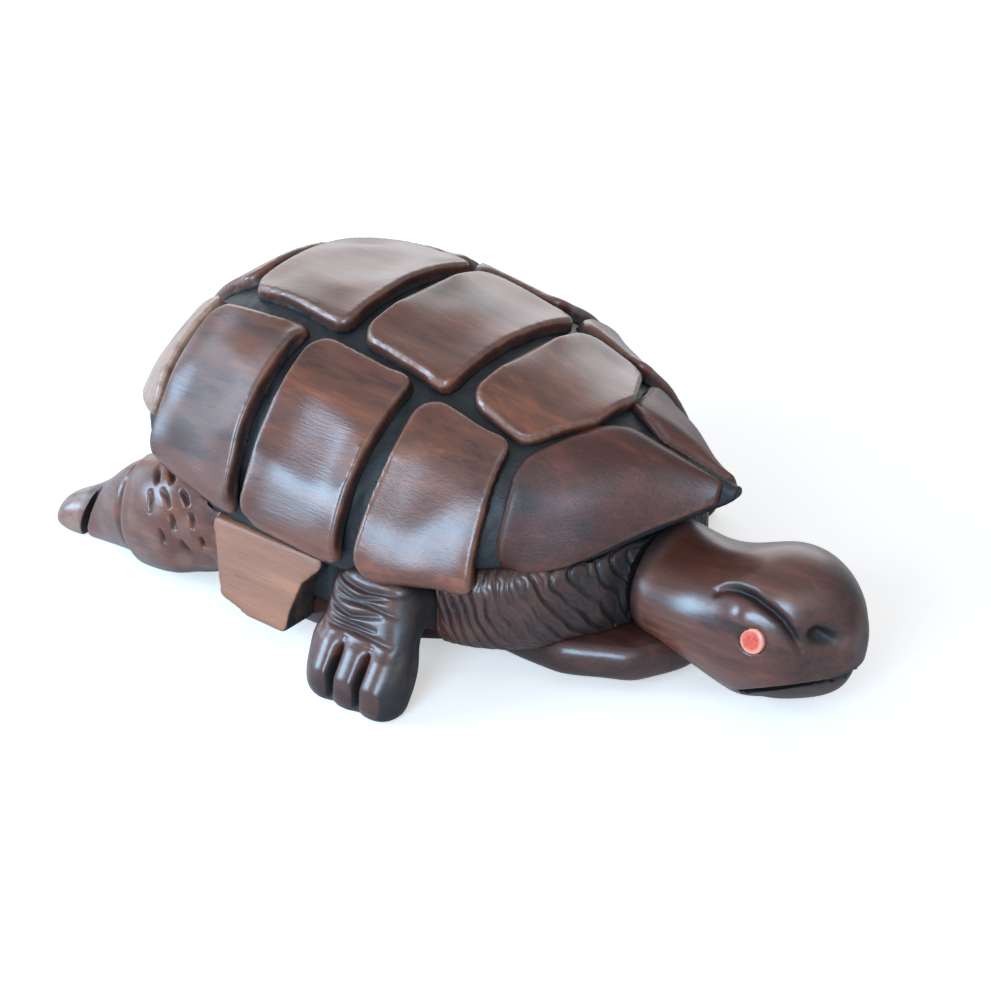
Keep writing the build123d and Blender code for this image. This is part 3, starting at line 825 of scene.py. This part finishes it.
# dark gathers painted shade in the crease and the nostril, pale a painted highlight at the nostril.
dark, pale = np.zeros((2, len(points)))
for side in (1, -1):
    away, share = to_line(points, mirrored(BROW_CREASE, side))
    swell = np.sin(math.pi * np.clip(share, 0.02, 0.98)) ** 0.6
    shape -= 1.9 * swell * bell(away, 0.8)
    dark += 1.3 * swell * bell(away, 1.15)
    away, share = to_line(points, mirrored(BROW_RIDGE, side))
    swell = np.sin(math.pi * np.clip(share, 0.02, 0.98)) ** 0.5
    shape += 0.4 * swell * bell(away, 2.8)
    away, share = to_line(points, mirrored(NOSTRIL, side))
    shape -= 2.2 * (1 - share) ** 0.7 * bell(away, 1.4 + 0.5 * share)
    dark += 1.4 * (1 - share) ** 1.2 * bell(away, 1.6)
    pale += 0.7 * step(share, 0.35, 0.7) * bell(away, 1.6)
    away, share = to_line(points, mirrored(CHEEK_CREASE, side))
    shape -= 0.28 * np.sin(math.pi * share) * bell(away, 0.5)
    shape += 0.75 * bell(to_spot(points, EYE_MOUND, side), 3.2)
print("deepest cut in the head:", round(-shape.min(), 2), "mm")

# %% [markdown]
# ## Mouth and collar
# The mouth is a slit that rises towards the nose, above a lower jaw that is set back. Painted shade
# darkens the slit, the jaw under it, the crown where it faces up and the collar, where the head
# meets the neck. The muzzle is made darker too.

# %% Mouth and collar
MOUTH_BACK, MOUTH_HEIGHT, MOUTH_RISE = 68.0, 7.0, 0.36
JAW_INSET = 1.2
COLLAR_FRONT, COLLAR_RIM = 46.5, 45.5

x, z = points[:, 0], points[:, 2]
mouth = MOUTH_HEIGHT + MOUTH_RISE * (x - MOUTH_BACK)
jaw = step(mouth - z, -0.2, 0.8) * step(x, 64, 70)
shape -= JAW_INSET * jaw
slit = bell(z - mouth, 0.8) * step(x, 64, 68)
# The crown is darkened where it faces up, as painted shade, and the muzzle is darker as well.
darker_muzzle_shaded_crown = 0.45 * step(x, 72, 82) * step(z, 9, 14) + 0.25 * step(normals[:, 2], 0.5, 0.9)
collar = step(COLLAR_FRONT - x, 0.0, 3.0)
write(head, points + normals * shape[:, None])
rub_down(head, step(x, 82.5, 84.0), 15)
mark(head, "rim", pale + 0.5 * bell(x - COLLAR_RIM, 1.2))
# cut holds painted shade in the creases, nostrils, slit, jaw, crown and collar, and the darker
# muzzle.
mark(head, "cut", blur(head, np.clip(dark + 0.7 * jaw + slit + darker_muzzle_shaded_crown + 0.7 * collar, 0, 1), 2))
finish_piece(head, "head", head_timber)
print("head vertices:", len(points))

# %% [markdown]
# ## Eye inlay
# Each eye is a polished plug of a coral-coloured material, paler round its edge and mottled inside.
# Cloudy noise mottles its colour and gloss, and the pale edge follows the attribute rim.

# %% Eye finish
eye_paint = bpy.data.materials.new("coral_inlay")
eye_paint.use_nodes = True
tree = eye_paint.node_tree
eye_shader = tree.nodes["Principled BSDF"]
eye_shader.inputs["Coat Weight"].default_value = 0.1
eye_ring = node(tree, "ShaderNodeAttribute", attribute_name="rim")
eye_cloud = stretched_noise(tree, (700, 700, 700), detail=4, distortion=0.3)
mottle = remap(tree, eye_cloud, 0.35, 0.65)
mottled = mix_colour(tree, mottle, (0.70, 0.075, 0.045, 1), (0.84, 0.150, 0.090, 1))
ringed = mix_colour(tree, eye_ring.outputs["Fac"], mottled, (0.93, 0.34, 0.25, 1))
link(tree, ringed, eye_shader.inputs["Base Color"])
link(tree, remap(tree, eye_cloud, 0.3, 0.7, 0.25, 0.42), eye_shader.inputs["Roughness"])
print("eye finish:", eye_paint.name)

# %% [markdown]
# ## Eyes
# The plugs are filed to low domes. What stands proud of each solid is pressed in along the plug's
# own direction, and its outer ring is marked as the pale edge.

# %% Eyes
SIDES = (("right", -1), ("left", 1))
PROUD_FROM = 1.4
EYE_TILT = 0.25

for side, sign in SIDES:
    eye = blank(f"{side}_eye", voxel=0.14, passes=3)
    points = read(eye)
    low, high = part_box(f"{side}_eye")
    middle = (np.array(low) + np.array(high)) / 2 / MM
    way = np.array((0.0, sign, EYE_TILT))
    way /= np.linalg.norm(way)
    offset = points - middle
    radius = np.linalg.norm(offset - (offset @ way)[:, None] * way, axis=1)
    proud = np.maximum(offset @ way - PROUD_FROM, 0)
    write(eye, points - (0.6 * proud + 0.06 * radius)[:, None] * way)
    mark(eye, "rim", step(radius, 1.5, 2.1))
    finish_piece(eye, f"{side}_eye", eye_paint)
    print(f"{side} eye vertices:", len(points))

# %% [markdown]
# ## Neck and shoulders
# The flanks are covered with slanting gouge cuts that leave overlapping folds of skin. A ramp that
# repeats along the flank gives the folds, and noise bends it, so no two folds are alike.

# %% Neck
FOLD_WIDTH, FINE_WIDTH = 2.1, 1.1
FOLD_LEAN = 0.42
NECK_MIDDLE = 16
COLLAR_SUNK = 0.9

neck = blank("neck", voxel=0.28, passes=4)
points = read(neck)
normals = read(neck, "normal")
flank = step(np.abs(normals[:, 1]) + 0.6 * normals[:, 0], 0.15, 0.6)
lean = points[:, 0] + FOLD_LEAN * (points[:, 2] - NECK_MIDDLE)
lean += 0.8 * wobble(points, 15, 70)
lean += 0.30 * wobble(points, 4.5, 71)
fold = (lean / FOLD_WIDTH) % 1.0
cut = bell(np.minimum(fold, 1 - fold), 0.11)
fine = bell((lean + 0.5 * wobble(points, 3.5, 72)) / FINE_WIDTH % 1.0 - 0.5, 0.16)
depth = step(wobble(points, 7, 73), -0.7, 0.6)
raised = 0.22 * fold**1.5 * depth
sunk = 0.85 * cut * (0.12 + 0.88 * depth)
shape = flank * (raised - sunk - 0.20 * fine * (1 - depth))
collar = step(points[:, 0], 39.5, 42.5)
write(neck, points + normals * (shape - COLLAR_SUNK * collar)[:, None])
# Painted shade darkens the gouge cuts, the collar, the neck towards the head and the parts off the
# flanks.
dark = flank * (0.8 * cut * (0.5 + 0.5 * depth) + 0.25 * fine)
dark += 0.8 * collar
dark += 0.5 * step(points[:, 0], 30, 39)
dark += (1 - flank) * 0.5
# The pale tops of the folds are a painted highlight.
mark(neck, "rim", flank * 0.6 * fold**3)
mark(neck, "cut", dark)
finish_piece(neck, "neck", body_timber)
print("neck vertices:", len(points))

# %% [markdown]
# ## Strokes on the legs
# Wrinkles cross the forelegs above the foot, and the hind thighs carry a patch of short gouge cuts.
# Both are strokes on the outer side, drawn as lines seen from the side and deepest in their middle.

# %% Strokes


def strokes(points, lines, width):
    """How deep the cuts along some short lines are, from 0 to 1."""
    flat = points[:, [0, 2]]
    sunk = np.zeros(len(points))
    for line in lines:
        away, share = to_line(flat, line)
        swell = np.sin(math.pi * np.clip(share, 0, 1)) ** 0.7
        sunk = np.maximum(sunk, swell * bell(away, width))
    return sunk


def outer_side(normals, sign, upwards):
    """1 where the surface looks away from the body, and 0 where it looks towards it."""
    return step(normals[:, 1] * sign + upwards * normals[:, 2], 0.1, 0.5)


print("legs are carved on the", [side for side, sign in SIDES])

# %% [markdown]
# ## Forelegs
# The wrinkles are uneven, so a seeded dice gives their ends and their sag. The three toes are
# rounded between their slits. The wrinkles, the slits, the front of the leg and the sole are
# darkened with painted shade.

# %% Forelegs
FORELEG_X = 8.3
TOE_PITCH = 6.4
WRINKLE_HEIGHTS = (21.8, 20.2, 18.9, 17.6, 16.0, 14.6)
dice = np.random.default_rng(20)


def wrinkle(height):
    """Line across a foreleg, from its rear to its front."""
    start = dice.uniform(-4, 1)
    end = dice.uniform(12, 19)
    sag = dice.uniform(-1.4, 0.6)
    tip = height + dice.uniform(-0.8, 0.8)
    return [(start, height - 0.8), ((start + end) / 2, height + sag), (end, tip)]


wrinkles = [wrinkle(height) for height in WRINKLE_HEIGHTS]
for side, sign in SIDES:
    foreleg = blank(f"{side}_foreleg", voxel=0.32, passes=4)
    points = read(foreleg)
    normals = read(foreleg, "normal")
    points[:, 0] -= 1.5 * step(2.6 - points[:, 0], 0, 3) * step(14 - points[:, 2], 0, 4)
    x, breadth, z = points[:, 0], np.abs(points[:, 1]), points[:, 2]
    outer = outer_side(normals, sign, 0.5)
    sunk = strokes(points, wrinkles, 0.5) * outer * step(z, 9, 13)
    folds = 0.25 * wobble(points * (0.4, 0.4, 1.6), 9, 80)
    toe = np.abs((x - FORELEG_X + TOE_PITCH / 2) % TOE_PITCH / TOE_PITCH - 0.5) * 2
    round_toe = 0.9 * toe**2 * outer * step(14.5 - z, 0, 3) * step(breadth, 46, 50)
    write(foreleg, points + normals * (folds - 0.75 * sunk - round_toe)[:, None])
    toes = step(breadth, 46, 49) * step(13 - z, 0, 2)
    rub_down(foreleg, toes, 110)
    write(foreleg, read(foreleg) + read(foreleg, "normal") * (0.45 * toes)[:, None])

    # Painted shade: front is the front face, slit the gaps between the toes, sole the underside.
    front = step(normals[:, 0], 0.15, 0.55) * step(x, 11, 14)
    slit = step(0.35 - np.abs(normals[:, 2]), 0, 0.2) * step(np.abs(normals[:, 0]), 0.8, 0.95)
    from_slit = np.abs(np.abs(x - FORELEG_X) - TOE_PITCH / 2)
    slit *= step(1.6 - from_slit, 0, 0.6) * step(9.6 - z, 0, 1)
    sole = step(-normals[:, 2], 0.5, 0.9)
    mark(foreleg, "rim", 0.35 * outer * step(wobble(points, 7, 81), 0.1, 0.9))
    mark(foreleg, "cut", 0.8 * sunk + 0.9 * front + slit + sole)
    finish_piece(foreleg, f"{side}_foreleg", body_timber)
    print(f"{side} foreleg vertices:", len(points))

# %% [markdown]
# ## Hind legs
# The thigh swells in front of a crease at the ankle and carries the gouge cuts, each with a place
# of its own. One slit parts the two toes, and their tips are rubbed pale.

# %% Hind legs
HIND_SLIT = [(-74.0, 13.0), (-75.2, 8.5), (-78.4, 1.0)]
ANKLE_CREASE = [(-60.5, 27.0), (-62.4, 19.0), (-61.5, 11.0), (-60.0, 3.0)]
THIGH_GOUGES = [
    [(-52.6, 24.8), (-51.2, 23.9), (-50.0, 22.9)], [(-49.4, 25.6), (-48.2, 25.0), (-46.4, 23.9)],
    [(-51.4, 21.8), (-50.4, 20.2), (-50.0, 17.8)], [(-48.7, 22.7), (-46.9, 21.6), (-45.6, 19.9)],
    [(-44.5, 23.5), (-43.2, 22.6), (-42.0, 21.1)], [(-45.4, 19.2), (-44.6, 17.8), (-44.2, 15.8)],
    [(-41.4, 20.2), (-40.6, 18.8), (-40.3, 16.8)], [(-43.4, 14.2), (-42.6, 12.4), (-41.4, 10.4)],
    [(-38.9, 15.8), (-38.4, 14.4), (-38.5, 12.6)], [(-47.6, 15.8), (-46.8, 14.2), (-46.5, 12.4)],
]
THIGH_SWELL, ANKLE_DEPTH, GOUGE_DEPTH = 1.2, 1.6, 1.1

for side, sign in SIDES:
    hind = blank(f"{side}_hind_leg", voxel=0.27, passes=5)
    points = read(hind)
    normals = read(hind, "normal")
    x, flat = points[:, 0], points[:, [0, 2]]
    outer = outer_side(normals, sign, 0.4)
    sunk = strokes(points, THIGH_GOUGES, 0.42) * outer
    from_ankle, _ = to_line(flat, ANKLE_CREASE)
    thigh = step(x, -63, -58) * step(-40 - x, 0, 8)
    form = 0.2 * wobble(points, 11, 82) + THIGH_SWELL * thigh * outer
    form -= ANKLE_DEPTH * bell(from_ankle, 1.3) * outer
    write(hind, points + normals * (form - GOUGE_DEPTH * sunk)[:, None])

    from_slit, _ = to_line(flat, HIND_SLIT)
    slit = step(1.5 - from_slit, 0, 0.5) * step(np.abs(normals[:, 0]), 0.7, 0.9)
    sole = step(-normals[:, 2], 0.5, 0.9)
    tips = outer * step(-77.0 - x, 0, 3)
    mark(hind, "rim", tips + 0.3 * outer * step(wobble(points, 7, 83), 0, 0.9))
    # cut is painted shade in the gouges and the slit and on the sole.
    mark(hind, "cut", 0.9 * sunk + slit + sole)
    finish_piece(hind, f"{side}_hind_leg", plate_timber)
    print(f"{side} hind leg vertices:", len(points))

# %% [markdown]
# ## Belly, bridges, tail and the hidden block
# These are plain, smooth surfaces. They keep their solids' shapes with softened edges and a little
# unevenness from the scraper. The bridge plates also lean in under the shell, and their front ends
# are darkened with painted shade.

# %% Remaining pieces
BRIDGE_LEAN = 0.065
SCRAPED = 0.10

for node_name, voxel, passes, slot, paint in (
    ("plastron", 0.6, 40, "body_wood", body_timber),
    ("torso", 0.7, 4, "body_wood", groove_timber),
    ("tail", 0.35, 4, "body_wood", body_timber),
    ("right_bridge_plate", 0.36, 12, "bridge_wood", bridge_timber),
    ("left_bridge_plate", 0.36, 12, "bridge_wood", bridge_timber),
):
    piece = blank(node_name, voxel, passes)
    points = read(piece)
    normals = read(piece, "normal")
    shaded_front_end = np.zeros(len(points))
    if slot == "bridge_wood":
        low, high = points[:, 2].min(), points[:, 2].max()
        points[:, 1] *= 1 - BRIDGE_LEAN * (points[:, 2] - low) / (high - low)
        # Painted shade on the front ends of the bridge plates.
        shaded_front_end = step(normals[:, 0], 0.35, 0.75)
    write(piece, points + normals * (SCRAPED * wobble(points, 12, 90))[:, None])
    mark(piece, "rim", np.zeros(len(points)))
    mark(piece, "cut", shaded_front_end)
    finish_piece(piece, node_name, paint)
